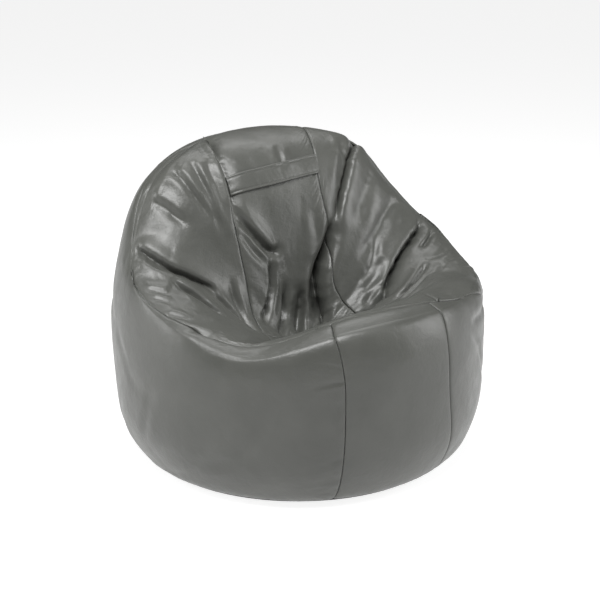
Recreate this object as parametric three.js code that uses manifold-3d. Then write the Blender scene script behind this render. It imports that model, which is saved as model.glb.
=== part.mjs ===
// Bean bag chair with arms, a tall back and a carry handle. Millimetres, +Z up, the sitter faces -Y,
// origin on the floor at the centre of the round base.
//
// Everything soft follows one closed surface, the bag's outer face. Its outer wall is a stack of two
// quarter ellipses at every heading: foot to bulge, and bulge to rim. Its hollow runs from the rim over a
// crest and down to the lowest point of the seat. A heading is 0 at the front and grows towards +X.
import * as THREE from "three";
import Module from "manifold-3d";

const wasm = await Module();
wasm.setup();

// Outer wall
const FOOT_RADIUS = 372;
const FOOT_HEIGHT = 10.5;
const BULGE_RADIUS = 450;
const BULGE_HEIGHT = 300;

// Rim seam: heading in degrees, radius, height. The two sides are alike but for a slump in the front rim.
const RIM = [
  [0, 405, 430],
  [35, 418, 428],
  [60, 430, 416],
  [80, 431, 436],
  [97, 420, 488],
  [110, 385, 580],
  [120, 345, 660],
  [135, 306, 702],
  [160, 286, 724],
  [180, 282, 728],
];

const SLUMP = { heading: -46, depth: 50, spread: 16 };

// Hollow: how far each profile has come from the rim to the seat's lowest point, level and then drop, as
// fractions. A drop below 0 is the crest, which stands above the rim seam.
const SEAT_LOW = { x: 0, y: -60, z: 262 };
const HOLLOW = [
  [0, 0, 0, 0.1, -0.07, 0.22, 0, 0.36, 0.22, 0.52, 0.55, 0.68, 0.81, 0.84, 0.96, 1, 1],
  [90, 0, 0, 0.08, -0.06, 0.19, -0.01, 0.36, 0.2, 0.52, 0.44, 0.68, 0.7, 0.84, 0.91, 1, 1],
  [180, 0, 0, 0.12, -0.03, 0.33, 0.02, 0.5, 0.15, 0.63, 0.38, 0.7, 0.7, 0.77, 0.93, 1, 1],
];

// Centre strip of the hollow: half width at each place from the front rim (-1) to the back rim (1), both
// as fractions of the rim, and the height of the crease where the seat panel meets the backrest panel.
const STRIP = [
  [-1, 0.36],
  [-0.5, 0.31],
  [0, 0.28],
  [0.2, 0.33],
  [0.4, 0.42],
  [1, 0.44],
];
const CREASE_HEIGHT = 335;

// Sheets, measured inwards from the bag's outer face
const SKIN = 1.6;
const SEAM_GAP = 1.2;
const LINER_DEPTH = 8;
const LINER_THICKNESS = 1;
const FILL_DEPTH = 13;

// Headings of the outer wall's seams, and of the zip's ends
const FRONT_SEAM = 19;
const REAR_SEAM = 135;

// Base
const BASE_RADIUS = 364;
const BASE_THICKNESS = 5;
const WELT_RADIUS = 3.4;
const WELT_RING = 369;
const WELT_HEIGHT = 6.6;

// Carry handle: a flat strap across the backrest, caught in both seams
const STRAP_WIDTH = 45;
const STRAP_THICKNESS = 2.4;
const STRAP_LIFT = 1.4;
const STRAP_HEIGHT = 645;

// Zips: two rows of coil on two tapes. All widths are half widths from the zip's middle line.
const ZIP_HEIGHT = 48;
const ZIP_DEPTH = 1.2;
const COIL_GAP = 0.6;
const COIL_EDGE = 3.4;
const COIL_THICKNESS = 2.4;
const TAPE_START = 3.75;
const TAPE_EDGE = 9.5;
const TAPE_THICKNESS = 0.8;
const ZIP_CLEAR = 10.4;
const STOP_LENGTH = 3;
const ZIP_END_ROOM = 2;

const SLIDER_LENGTH = 12;
const SLIDER_HALF_WIDTH = 5;
const SLIDER_PLATE = 1.2;
const SLIDER_CLEARANCE = 0.4;
const SLIDER_BRIDGE = 0.36;
const SLIDER_START = 140;
const SLIDER_SINK = 0.3;
const ARCH_HALF_WIDTH = 0.7;
const ARCH_INNER = 3.4;
const ARCH_OUTER = 4.4;
const ARCH_BAR = 1;

const PULL_AXIS_HEIGHT = 1.2;
const PULL_LENGTH = 24;
const PULL_HALF_WIDTH = 2.7;
const PULL_THICKNESS = 1.2;
const PULL_WALL = 0.9;
const PULL_EYE_END = 5.6;

const LINER_ZIP_HEIGHT = 105;
const LINER_ZIP_HALF_ARC = 22.5;
const LINER_SLIDER_START = -18;

const LABEL = { heading: 128, width: 26, from: 14, to: 62, thickness: 0.5, lift: 0.8 };

const rad = THREE.MathUtils.degToRad;
const mix = THREE.MathUtils.lerp;

// ---------------------------------------------------------------------------------------------------
// Curves

// The values at x of the smooth curves through a table's rows, level at both ends.
function alongTable(rows, x) {
  const last = rows.length - 1;
  const at = Math.min(Math.max(x, rows[0][0]), rows[last][0]);
  const next = Math.max(
    1,
    rows.findIndex((row) => row[0] >= at),
  );
  const slope = (k, c) =>
    k === 0 || k === last
      ? 0
      : (rows[k + 1][c] - rows[k - 1][c]) / (rows[k + 1][0] - rows[k - 1][0]);
  const [a, b] = [rows[next - 1], rows[next]];
  const span = b[0] - a[0];
  const s = (at - a[0]) / span;
  const s2 = s * s;
  const s3 = s2 * s;
  return a.slice(1).map((_, i) => {
    const c = i + 1;
    const fromSlopes = (s3 - 2 * s2 + s) * slope(next - 1, c) + (s3 - s2) * slope(next, c);
    return (2 * s3 - 3 * s2 + 1) * a[c] + (3 * s2 - 2 * s3) * b[c] + span * fromSlopes;
  });
}

// Heading as -180..180 degrees, and folded to 0..180 where both sides of the chair are alike.
const signed = (heading) => ((((heading + 180) % 360) + 360) % 360) - 180;
const folded = (heading) => Math.abs(signed(heading));

function polar(heading, radius, height) {
  const a = rad(heading);
  return new THREE.Vector3(radius * Math.sin(a), -radius * Math.cos(a), height);
}

// ---------------------------------------------------------------------------------------------------
// The bag's outer face

// Radius and height of the rim seam.
function rimSeam(heading) {
  const [radius, height] = alongTable(RIM, folded(heading));
  const away = (signed(heading) - SLUMP.heading) / SLUMP.spread;
  return [radius, height - SLUMP.depth * Math.exp((-away * away) / 2)];
}

// Outer wall: climb goes from -90 at the foot through 0 at the bulge to 90 at the rim.
function wallSection(heading, climb) {
  const [rimRadius, rimHeight] = rimSeam(heading);
  const centre = climb < 0 ? FOOT_RADIUS : rimRadius;
  const tall = climb < 0 ? BULGE_HEIGHT - FOOT_HEIGHT : rimHeight - BULGE_HEIGHT;
  const radius = centre + (BULGE_RADIUS - centre) * Math.cos(rad(climb));
  return [radius, BULGE_HEIGHT + tall * Math.sin(rad(climb))];
}

const wallPoint = (heading, climb) => polar(heading, ...wallSection(heading, climb));

function wall(heading, climb) {
  const step = 0.2;
  const across = wallPoint(heading + step, climb).sub(wallPoint(heading - step, climb));
  const up = wallPoint(heading, climb + step).sub(wallPoint(heading, climb - step));
  return { point: wallPoint(heading, climb), normal: across.cross(up).normalize() };
}

// Hollow: x and y go from -1 to 1 across the rim's outline.
function hollowPoint(x, y) {
  const out = Math.min(Math.hypot(x, y), 1);
  const heading = out < 1e-6 ? 0 : THREE.MathUtils.radToDeg(Math.atan2(x, -y));
  const [rimRadius, rimHeight] = rimSeam(heading);
  const profile = alongTable(HOLLOW, folded(heading));
  const stations = profile.length / 2;
  const rows = Array.from({ length: stations }, (_, i) => [
    i / (stations - 1),
    profile[2 * i],
    profile[2 * i + 1],
  ]);
  const [level, drop] = alongTable(rows, 1 - out);
  const rim = polar(heading, rimRadius, rimHeight);
  return new THREE.Vector3(
    mix(rim.x, SEAT_LOW.x, level),
    mix(rim.y, SEAT_LOW.y, level),
    mix(rim.z, SEAT_LOW.z, drop),
  );
}

function hollow(x, y) {
  const step = 0.004;
  const inside = Math.min(1, (1 - 2 * step) / Math.max(Math.hypot(x, y), 1e-6));
  const [u, v] = [x * inside, y * inside];
  const across = hollowPoint(u + step, v).sub(hollowPoint(u - step, v));
  const back = hollowPoint(u, v + step).sub(hollowPoint(u, v - step));
  return { point: hollowPoint(x, y), normal: across.cross(back).normalize() };
}

// ---------------------------------------------------------------------------------------------------
// Meshes

// Samples welded where they meet, with the triangles that this leaves.
function weld(samples, triangles) {
  const kept = [];
  const places = new Map();
  const index = samples.map((sample) => {
    const key = sample.point
      .toArray()
      .map((v) => Math.round(v * 100))
      .join();
    if (!places.has(key)) {
      places.set(key, kept.length);
      kept.push(sample);
    }
    return places.get(key);
  });
  const faces = triangles.map((t) => t.map((i) => index[i]));
  return { samples: kept, faces: faces.filter(([a, b, c]) => a !== b && b !== c && c !== a) };
}

// A closed geometry with its faces pointing out.
function closedGeometry(points, faces) {
  let volume = 0;
  for (const [a, b, c] of faces) {
    volume += points[a].dot(new THREE.Vector3().crossVectors(points[b], points[c]));
  }
  const order = volume < 0 ? ([a, b, c]) => [a, c, b] : (face) => face;
  const geometry = new THREE.BufferGeometry();
  geometry.setAttribute(
    "position",
    new THREE.Float32BufferAttribute(
      points.flatMap((p) => p.toArray()),
      3,
    ),
  );
  geometry.setIndex(faces.flatMap(order));
  geometry.computeVertexNormals();
  return geometry;
}

const atDepth = ({ point, normal }, depth) => point.clone().addScaledVector(normal, -depth);

// Triangles of a grid of samples, with rows and columns counted in cells. skip leaves cells out.
function gridFaces(rows, columns, skip = () => false) {
  const faces = [];
  for (let r = 0; r < rows; r++) {
    for (let c = 0; c < columns; c++) {
      if (skip(r, c)) continue;
      const a = r * (columns + 1) + c;
      const b = a + columns + 1;
      faces.push([a, a + 1, b + 1], [a, b + 1, b]);
    }
  }
  return faces;
}

function gridSamples(rows, columns, sampleAt) {
  const samples = [];
  for (let r = 0; r <= rows; r++) {
    for (let c = 0; c <= columns; c++) samples.push(sampleAt(r / rows, c / columns));
  }
  return samples;
}

// A sheet of even thickness: a surface's triangles at two depths, joined round every free edge.
function thickSheet(allSamples, triangles, depth, thickness) {
  const { samples, faces } = weld(allSamples, triangles);
  const count = samples.length;
  const points = [
    ...samples.map((s) => atDepth(s, depth)),
    ...samples.map((s) => atDepth(s, depth + thickness)),
  ];
  const used = new Set();
  for (const [a, b, c] of faces) {
    for (const edge of [`${a},${b}`, `${b},${c}`, `${c},${a}`]) used.add(edge);
  }
  const all = faces.flatMap(([a, b, c]) => [
    [a, b, c],
    [a + count, c + count, b + count],
  ]);
  for (const edge of used) {
    const [a, b] = edge.split(",").map(Number);
    if (used.has(`${b},${a}`)) continue;
    all.push([b, a, a + count], [b, a + count, b + count]);
  }
  return closedGeometry(points, all);
}

function sheetPanel(rows, columns, sampleAt, depth = 0, thickness = SKIN) {
  const samples = gridSamples(rows, columns, sampleAt);
  return thickSheet(samples, gridFaces(rows, columns), depth, thickness);
}

// A bar of the given section, [radius, height] corners in order, swept between two headings.
function arcBar(section, from, to, steps) {
  const points = [];
  for (let s = 0; s <= steps; s++) {
    for (const [radius, height] of section) points.push(polar(mix(from, to, s / steps), radius, height));
  }
  const n = section.length;
  const faces = [];
  for (let s = 0; s < steps; s++) {
    for (let k = 0; k < n; k++) {
      const a = s * n + k;
      const b = s * n + ((k + 1) % n);
      faces.push([a, b, b + n], [a, b + n, a + n]);
    }
  }
  const end = steps * n;
  for (let k = 1; k < n - 1; k++) {
    faces.push([0, k + 1, k], [end, end + k, end + k + 1]);
  }
  return closedGeometry(points, faces);
}

// ---------------------------------------------------------------------------------------------------
// Booleans

function solidOf(geometry) {
  const mesh = new wasm.Mesh({
    numProp: 3,
    vertProperties: new Float32Array(geometry.getAttribute("position").array),
    triVerts: new Uint32Array(geometry.index.array),
  });
  return new wasm.Manifold(mesh);
}

function joined(geometries) {
  const mesh = geometries
    .map(solidOf)
    .reduce((sum, solid) => sum.add(solid))
    .getMesh();
  const geometry = new THREE.BufferGeometry();
  geometry.setAttribute("position", new THREE.Float32BufferAttribute(mesh.vertProperties, 3));
  geometry.setIndex(Array.from(mesh.triVerts));
  geometry.computeVertexNormals();
  return geometry;
}

// ---------------------------------------------------------------------------------------------------
// Cover panels

// Degrees of climb or heading that take up half a seam's gap on the wall.
const GAP_HEADING = THREE.MathUtils.radToDeg(SEAM_GAP / 2 / FOOT_RADIUS);
const RIM_CLIMB = 87;
const RIM_REACH = 0.993;

function wallPanel(from, to, columns, lowest = -90, highest = RIM_CLIMB, rows = 9) {
  const left = from + GAP_HEADING;
  const right = to - GAP_HEADING;
  return sheetPanel(rows, columns, (v, u) => wall(mix(left, right, u), mix(lowest, highest, v)));
}

const stripHalf = (y) => alongTable(STRIP, y)[0];

// Where the strip's edge line meets the rim, as a place from front to back.
function stripEnd(side) {
  let y = side;
  for (let i = 0; i < 20; i++) y = side * Math.sqrt(1 - stripHalf(y) ** 2);
  return y;
}

// Gap between the centre strip's edges and its neighbours, in the rim's own units.
const STRIP_GAP = 0.004;

// Part of the centre strip from y = low(x) to y = high(x).
function stripPanel(rows, columns, low, high, depth, thickness) {
  const place = (v, u) => {
    const side = mix(-1, 1, u);
    let y = 0;
    let x = 0;
    for (let i = 0; i < 8; i++) {
      x = side * (stripHalf(y) - STRIP_GAP);
      y = mix(low(x), high(x), v);
    }
    return hollow(x, y);
  };
  return sheetPanel(rows, columns, place, depth, thickness);
}

const rimAt = (x) => Math.sqrt(RIM_REACH ** 2 - x * x);

function wingPanel(side) {
  const front = stripEnd(-1) + STRIP_GAP;
  const back = stripEnd(1) - STRIP_GAP;
  const frontHeading = Math.atan2(stripHalf(front), -front) + STRIP_GAP;
  const backHeading = Math.atan2(stripHalf(back), -back) - STRIP_GAP;
  return sheetPanel(16, 10, (v, u) => {
    const y = mix(front, back, v);
    const angle = mix(frontHeading, backHeading, v);
    const x = mix(stripHalf(y) + STRIP_GAP, Math.sin(angle) * RIM_REACH, u);
    const along = mix(y, -Math.cos(angle) * RIM_REACH, u);
    return hollow(side * x, along);
  });
}

// The place behind the seat where the backrest has the given height.
function backAtHeight(x, height) {
  let low = 0.05;
  let high = 0.8;
  for (let i = 0; i < 30; i++) {
    const middle = (low + high) / 2;
    if (hollowPoint(x, middle).z < height) low = middle;
    else high = middle;
  }
  return (low + high) / 2;
}

function handle() {
  const step = 5;
  const rise = (up) => hollowPoint(0, backAtHeight(0, STRAP_HEIGHT + up));
  const half = ((STRAP_WIDTH / 2) * (2 * step)) / rise(step).distanceTo(rise(-step));
  return sheetPanel(
    3,
    12,
    (v, u) => {
      const height = STRAP_HEIGHT + mix(-half, half, v);
      let x = 0;
      for (let i = 0; i < 8; i++) x = mix(-1, 1, u) * (stripHalf(backAtHeight(x, height)) - 3 * STRIP_GAP);
      return hollow(x, backAtHeight(x, height));
    },
    -STRAP_THICKNESS - STRAP_LIFT,
    STRAP_THICKNESS,
  );
}

// ---------------------------------------------------------------------------------------------------
// Filling and liner: rings from the middle of the underside to the seat's lowest point

function bagRings(turns, wallClimbs, hollowReaches) {
  const ring = (sampleAt) => Array.from({ length: turns + 1 }, (_, i) => sampleAt((360 * i) / turns));
  const under = {
    point: new THREE.Vector3(0, 0, FOOT_HEIGHT),
    normal: new THREE.Vector3(0, 0, -1),
  };
  const low = hollow(0, 0);
  return [
    ring(() => under),
    ...wallClimbs.map((climb) => ring((heading) => wall(heading, climb))),
    ...hollowReaches.map((reach) =>
      ring((heading) => hollow(reach * Math.sin(rad(heading)), -reach * Math.cos(rad(heading)))),
    ),
    ring(() => low),
  ];
}

const HOLLOW_REACHES = [0.94, 0.86, 0.78, 0.7, 0.62, 0.54, 0.46, 0.38, 0.3, 0.2, 0.1];

function fill() {
  const turns = 48;
  const rings = bagRings(turns, [-90, -70, -50, -28, 0, 25, 45, 62, 78], HOLLOW_REACHES);
  const { samples, faces } = weld(rings.flat(), gridFaces(rings.length - 1, turns));
  return closedGeometry(
    samples.map((s) => atDepth(s, FILL_DEPTH)),
    faces,
  );
}

// ---------------------------------------------------------------------------------------------------
// Zips

// Climb of the lower wall at a height.
const climbAt = (height) =>
  THREE.MathUtils.radToDeg(Math.asin((height - BULGE_HEIGHT) / (BULGE_HEIGHT - FOOT_HEIGHT)));

// Frame of a zip's cross-section at a height: across goes up the wall, out goes away from it.
function zipFrame(height, depth) {
  const climb = rad(climbAt(height));
  const wide = BULGE_RADIUS - FOOT_RADIUS;
  const tall = BULGE_HEIGHT - FOOT_HEIGHT;
  const tangent = new THREE.Vector2(-wide * Math.sin(climb), tall * Math.cos(climb)).normalize();
  const normal = new THREE.Vector2(tangent.y, -tangent.x);
  const middle = new THREE.Vector2(...wallSection(REAR_SEAM, climbAt(height)));
  middle.addScaledVector(normal, -depth);
  const at = (across, out) => [
    middle.x + across * tangent.x + out * normal.x,
    middle.y + across * tangent.y + out * normal.y,
  ];
  const bar = (across0, across1, out0, out1) => [
    at(across0, out0),
    at(across1, out0),
    at(across1, out1),
    at(across0, out1),
  ];
  const mmPerRadian = Math.hypot(wide * Math.sin(climb), tall * Math.cos(climb));
  return { at, bar, tangent, normal, climbPerMm: 180 / Math.PI / mmPerRadian };
}

const coverZip = zipFrame(ZIP_HEIGHT, ZIP_DEPTH);
const linerZip = zipFrame(LINER_ZIP_HEIGHT, LINER_DEPTH + LINER_THICKNESS / 2);

// One side of a zip: 1 is above its middle line and -1 below.
function zipRow(frame, side, inner, outer, thickness, from, to) {
  const section = frame.bar(side * inner, side * outer, -thickness / 2, thickness / 2);
  return arcBar(section, from, to, Math.ceil((to - from) / 1.8));
}

const sliderTop = COIL_THICKNESS / 2 + SLIDER_CLEARANCE + SLIDER_PLATE;

// Slider without its arch: two plates over and under the coils, joined ahead of them by a bridge.
function sliderParts(frame, heading) {
  const degrees = 180 / Math.PI / frame.at(0, 0)[0];
  const half = (SLIDER_LENGTH / 2) * degrees;
  const inner = sliderTop - SLIDER_PLATE;
  const plate = (low, high) =>
    arcBar(frame.bar(-SLIDER_HALF_WIDTH, SLIDER_HALF_WIDTH, low, high), heading - half, heading + half, 2);
  const bridge = frame.bar(-SLIDER_BRIDGE, SLIDER_BRIDGE, -inner - SLIDER_SINK, inner + SLIDER_SINK);
  return [
    plate(inner, sliderTop),
    plate(-sliderTop, -inner),
    arcBar(bridge, heading - 0.9 * half, heading - 0.4 * half, 1),
  ];
}

// Directions at a slider: along its travel, across the zip, out of the wall.
function sliderBasis(frame, heading) {
  const a = rad(heading);
  const radial = new THREE.Vector3(Math.sin(a), -Math.cos(a), 0);
  const lift = ({ x, y }) => radial.clone().multiplyScalar(x).setZ(y);
  const across = lift(frame.tangent);
  const out = lift(frame.normal);
  return { along: new THREE.Vector3().crossVectors(across, out), across, out };
}

// The cover's slider has an arch along its travel. The pull's end passes under the arch.
function zipSlider() {
  const degrees = 180 / Math.PI / coverZip.at(0, 0)[0];
  const roof = sliderTop + 2 * PULL_AXIS_HEIGHT;
  const block = (halfWidth, low, high, from, to) =>
    arcBar(
      coverZip.bar(-halfWidth, halfWidth, low, high),
      SLIDER_START + from * degrees,
      SLIDER_START + to * degrees,
      1,
    );
  const leg = (from, to) =>
    block(ARCH_HALF_WIDTH, sliderTop - SLIDER_SINK, roof + ARCH_BAR / 2, from, to);
  const barEnd = ARCH_OUTER + 0.2;
  return joined([
    ...sliderParts(coverZip, SLIDER_START),
    leg(ARCH_INNER, ARCH_OUTER),
    leg(-ARCH_OUTER, -ARCH_INNER),
    block(ARCH_HALF_WIDTH + 0.15, roof, roof + ARCH_BAR, -barEnd, barEnd),
  ]);
}

// Flat tab that lies along the zip and turns about the wall at its near end, under the arch.
function zipPull() {
  const end = PULL_THICKNESS / 2;
  const outline = new THREE.Shape();
  outline.moveTo(-end, -PULL_HALF_WIDTH);
  outline.lineTo(PULL_LENGTH - PULL_HALF_WIDTH, -PULL_HALF_WIDTH);
  outline.absarc(PULL_LENGTH - PULL_HALF_WIDTH, 0, PULL_HALF_WIDTH, -Math.PI / 2, Math.PI / 2, false);
  outline.lineTo(-end, PULL_HALF_WIDTH);
  const eyeHalf = PULL_HALF_WIDTH - PULL_WALL;
  const eye = new THREE.Path();
  eye.moveTo(end, -eyeHalf);
  eye.lineTo(end, eyeHalf);
  eye.lineTo(PULL_EYE_END, eyeHalf);
  eye.lineTo(PULL_EYE_END, -eyeHalf);
  outline.holes.push(eye);
  const tab = new THREE.ExtrudeGeometry(outline, {
    depth: PULL_THICKNESS,
    bevelEnabled: false,
    curveSegments: 5,
  });
  tab.translate(0, 0, -PULL_THICKNESS / 2);
  const { along, across, out } = sliderBasis(coverZip, SLIDER_START);
  const axis = polar(SLIDER_START, ...coverZip.at(0, sliderTop + PULL_AXIS_HEIGHT));
  tab.applyMatrix4(new THREE.Matrix4().makeBasis(along, across, out));
  tab.applyMatrix4(new THREE.Matrix4().setPosition(axis));
  return weldedCopy(tab);
}

// A geometry with its shared vertices merged.
function weldedCopy(geometry) {
  const positions = geometry.getAttribute("position");
  const samples = Array.from({ length: positions.count }, (_, i) => ({
    point: new THREE.Vector3().fromBufferAttribute(positions, i),
  }));
  const index = geometry.index ? Array.from(geometry.index.array) : samples.map((_, i) => i);
  const triangles = Array.from({ length: index.length / 3 }, (_, i) => index.slice(3 * i, 3 * i + 3));
  const { samples: kept, faces } = weld(samples, triangles);
  return closedGeometry(
    kept.map((s) => s.point),
    faces,
  );
}

function liner() {
  const turns = 48;
  const reach = ZIP_CLEAR * linerZip.climbPerMm;
  const middle = climbAt(LINER_ZIP_HEIGHT);
  const climbs = [-90, -68, middle - reach, middle + reach, -28, 0, 25, 45, 62, 78];
  const rings = bagRings(turns, climbs, HOLLOW_REACHES);
  const slotRow = climbs.indexOf(middle - reach) + 1;
  const slotStart = ((180 - LINER_ZIP_HALF_ARC) / 360) * turns;
  const slotEnd = ((180 + LINER_ZIP_HALF_ARC) / 360) * turns;
  const inSlot = (r, c) => r === slotRow && c >= slotStart && c < slotEnd;
  const faces = gridFaces(rings.length - 1, turns, inSlot);
  return thickSheet(rings.flat(), faces, LINER_DEPTH, LINER_THICKNESS);
}

const linerSlider = () => joined(sliderParts(linerZip, 180 + LINER_SLIDER_START));

function label() {
  const half = THREE.MathUtils.radToDeg(LABEL.width / 2 / FOOT_RADIUS);
  return sheetPanel(
    6,
    2,
    (v, u) =>
      wall(LABEL.heading + mix(-half, half, u), mix(climbAt(LABEL.from), climbAt(LABEL.to), v)),
    -LABEL.lift - LABEL.thickness,
    LABEL.thickness,
  );
}

// ---------------------------------------------------------------------------------------------------
// Base

function base() {
  const bevel = 1.2;
  const profile = [
    new THREE.Vector2(0, 0),
    new THREE.Vector2(BASE_RADIUS - bevel, 0),
    new THREE.Vector2(BASE_RADIUS, bevel),
    new THREE.Vector2(BASE_RADIUS, BASE_THICKNESS),
    new THREE.Vector2(0, BASE_THICKNESS),
  ];
  return upright(new THREE.LatheGeometry(profile, 72));
}

function welt() {
  const corners = 8;
  const profile = Array.from({ length: corners + 1 }, (_, i) => {
    const a = (2 * Math.PI * (i + 0.5)) / corners;
    return new THREE.Vector2(
      WELT_RING + WELT_RADIUS * Math.cos(a),
      WELT_HEIGHT + WELT_RADIUS * Math.sin(a),
    );
  });
  return upright(new THREE.LatheGeometry(profile, 72));
}

// A lathe's axis is Y, so it is turned to stand along Z.
const upright = (lathe) => weldedCopy(lathe.rotateX(Math.PI / 2));

// ---------------------------------------------------------------------------------------------------
// Assembly

const material = (color, roughness, metalness = 0) =>
  new THREE.MeshStandardMaterial({ color, roughness, metalness });
const leather = material(0x62635f, 0.45);
const darkFabric = material(0x26272a, 0.9);
const tapeFabric = material(0x3a3b3c, 0.9);
const coilPlastic = material(0x2c2d2e, 0.5);
const zipMetal = material(0x6d6e70, 0.35, 1);
const linerFabric = material(0xd9d8d2, 0.9);
const beads = material(0xf4f4f2, 0.8);
const labelFabric = material(0xe8e8e4, 0.85);

const chair = new THREE.Group();

function add(name, geometry, finish) {
  const mesh = new THREE.Mesh(geometry, finish);
  mesh.name = name;
  chair.add(mesh);
}

const clearOfZip = ZIP_CLEAR * coverZip.climbPerMm;
const zipClimb = climbAt(ZIP_HEIGHT);
const rearStart = REAR_SEAM;
const rearEnd = 360 - REAR_SEAM;

add("front_panel", wallPanel(-FRONT_SEAM, FRONT_SEAM, 7), leather);
add("side_panel_left", wallPanel(FRONT_SEAM, REAR_SEAM, 18), leather);
add("side_panel_right", wallPanel(-REAR_SEAM, -FRONT_SEAM, 18), leather);
add("rear_panel", wallPanel(rearStart, rearEnd, 14, zipClimb + clearOfZip), leather);
add("zip_facing", wallPanel(rearStart, rearEnd, 14, -90, zipClimb - clearOfZip, 2), leather);
add("wing_panel_left", wingPanel(1), leather);
add("wing_panel_right", wingPanel(-1), leather);
add(
  "backrest_panel",
  stripPanel(16, 8, (x) => backAtHeight(x, CREASE_HEIGHT) + STRIP_GAP, rimAt),
  leather,
);
add(
  "seat_panel",
  stripPanel(10, 8, (x) => -rimAt(x), (x) => backAtHeight(x, CREASE_HEIGHT) - STRIP_GAP),
  leather,
);
add("carry_handle", handle(), leather);
add("base_panel", base(), darkFabric);
add("base_welt", welt(), darkFabric);

const zipFrom = REAR_SEAM + ZIP_END_ROOM;
const zipTo = 360 - REAR_SEAM - ZIP_END_ROOM;
const stopArc = THREE.MathUtils.radToDeg(STOP_LENGTH / FOOT_RADIUS);
const coilFrom = zipFrom + stopArc + 0.1;
const coilTo = zipTo - stopArc - 0.1;
for (const [place, side] of [
  ["upper", 1],
  ["lower", -1],
]) {
  add(
    `zip_tape_${place}`,
    zipRow(coverZip, side, TAPE_START, TAPE_EDGE, TAPE_THICKNESS, zipFrom, zipTo),
    tapeFabric,
  );
  add(
    `zip_coil_${place}`,
    zipRow(coverZip, side, COIL_GAP, COIL_EDGE, COIL_THICKNESS, coilFrom, coilTo),
    coilPlastic,
  );
}
const stopSection = coverZip.bar(-COIL_EDGE, COIL_EDGE, -COIL_THICKNESS / 2, COIL_THICKNESS / 2);
add("zip_top_stop", arcBar(stopSection, zipFrom, zipFrom + stopArc, 1), zipMetal);
add("zip_bottom_stop", arcBar(stopSection, zipTo - stopArc, zipTo, 1), zipMetal);
add("zip_slider", zipSlider(), zipMetal);
add("zip_pull", zipPull(), zipMetal);

const linerZipFrom = 180 - LINER_ZIP_HALF_ARC + 0.4;
const linerZipTo = 180 + LINER_ZIP_HALF_ARC - 0.4;
for (const [place, side] of [
  ["upper", 1],
  ["lower", -1],
]) {
  add(
    `liner_zip_${place}`,
    zipRow(linerZip, side, COIL_GAP, TAPE_EDGE, 1.8, linerZipFrom, linerZipTo),
    tapeFabric,
  );
}
add("liner_zip_slider", linerSlider(), zipMetal);
add("inner_liner", liner(), linerFabric);
add("bead_fill", fill(), beads);
add("care_label", label(), labelFabric);

export default chair;
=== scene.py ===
"""Bean bag chair with arms, a tall back and a carry handle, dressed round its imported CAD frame.

The cover follows one closed surface, as in the CAD source: an outer wall from the foot to the rim, and a
hollow from the rim to the seat's lowest point. The surface is kept on a round grid, where a row runs round
the chair and a column climbs one heading. Folds are laid on the grid, a cloth simulation settles them, and
each cover panel is then cut from the result along its seams. Metres, +Z up, the sitter faces -Y.
"""
import math

import bpy
import numpy as np
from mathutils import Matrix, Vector


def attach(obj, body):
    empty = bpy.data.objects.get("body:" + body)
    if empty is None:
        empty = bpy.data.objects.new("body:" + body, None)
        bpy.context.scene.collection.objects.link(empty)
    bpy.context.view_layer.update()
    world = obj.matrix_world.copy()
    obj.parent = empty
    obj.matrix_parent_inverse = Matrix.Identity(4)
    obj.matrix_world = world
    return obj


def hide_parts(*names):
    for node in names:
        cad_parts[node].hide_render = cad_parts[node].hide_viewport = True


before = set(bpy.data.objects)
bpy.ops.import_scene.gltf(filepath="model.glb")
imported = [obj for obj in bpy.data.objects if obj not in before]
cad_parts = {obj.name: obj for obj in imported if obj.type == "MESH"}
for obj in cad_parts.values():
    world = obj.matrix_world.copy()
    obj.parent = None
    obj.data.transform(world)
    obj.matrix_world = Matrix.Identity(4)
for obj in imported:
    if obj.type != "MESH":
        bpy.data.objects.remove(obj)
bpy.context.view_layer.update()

# == Driving dimensions

FOOT_RADIUS = 0.372
FOOT_HEIGHT = 0.0105
BULGE_RADIUS = 0.450
BULGE_HEIGHT = 0.300

# Rim seam: heading in degrees, radius, height.
RIM = [
    (0, 0.405, 0.430),
    (35, 0.418, 0.428),
    (60, 0.430, 0.416),
    (80, 0.431, 0.436),
    (97, 0.420, 0.488),
    (110, 0.385, 0.580),
    (120, 0.345, 0.660),
    (135, 0.306, 0.702),
    (160, 0.286, 0.724),
    (180, 0.282, 0.728),
]

SLUMP_HEADING, SLUMP_DEPTH, SLUMP_SPREAD = -46, 0.050, 16

# Hollow: (heading, level, drop, level, drop, ...), how far each profile has come from the rim to the
# seat's lowest point, as fractions. A drop below 0 is the crest.
SEAT_LOW = (0.0, -0.060, 0.262)
HOLLOW = [
    (0, 0, 0, 0.1, -0.07, 0.22, 0, 0.36, 0.22, 0.52, 0.55, 0.68, 0.81, 0.84, 0.96, 1, 1),
    (90, 0, 0, 0.08, -0.06, 0.19, -0.01, 0.36, 0.2, 0.52, 0.44, 0.68, 0.7, 0.84, 0.91, 1, 1),
    (180, 0, 0, 0.12, -0.03, 0.33, 0.02, 0.5, 0.15, 0.63, 0.38, 0.7, 0.7, 0.77, 0.93, 1, 1),
]

# Places in the hollow are in rim units: x is across and y is from the front (-1) to the back (1) of the rim.
# Centre strip: half width by y, on the sitter's right (-X) and left (+X). The cover sits a little askew.
STRIP_Y = (-1, -0.5, 0, 0.12, 0.23, 0.4, 0.55, 1)
STRIP_RIGHT = list(zip(STRIP_Y, (0.36, 0.31, 0.29, 0.33, 0.40, 0.44, 0.45, 0.36)))
STRIP_LEFT = list(zip(STRIP_Y, (0.36, 0.31, 0.27, 0.26, 0.34, 0.38, 0.43, 0.54)))
CREASE_Y = -0.04

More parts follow.
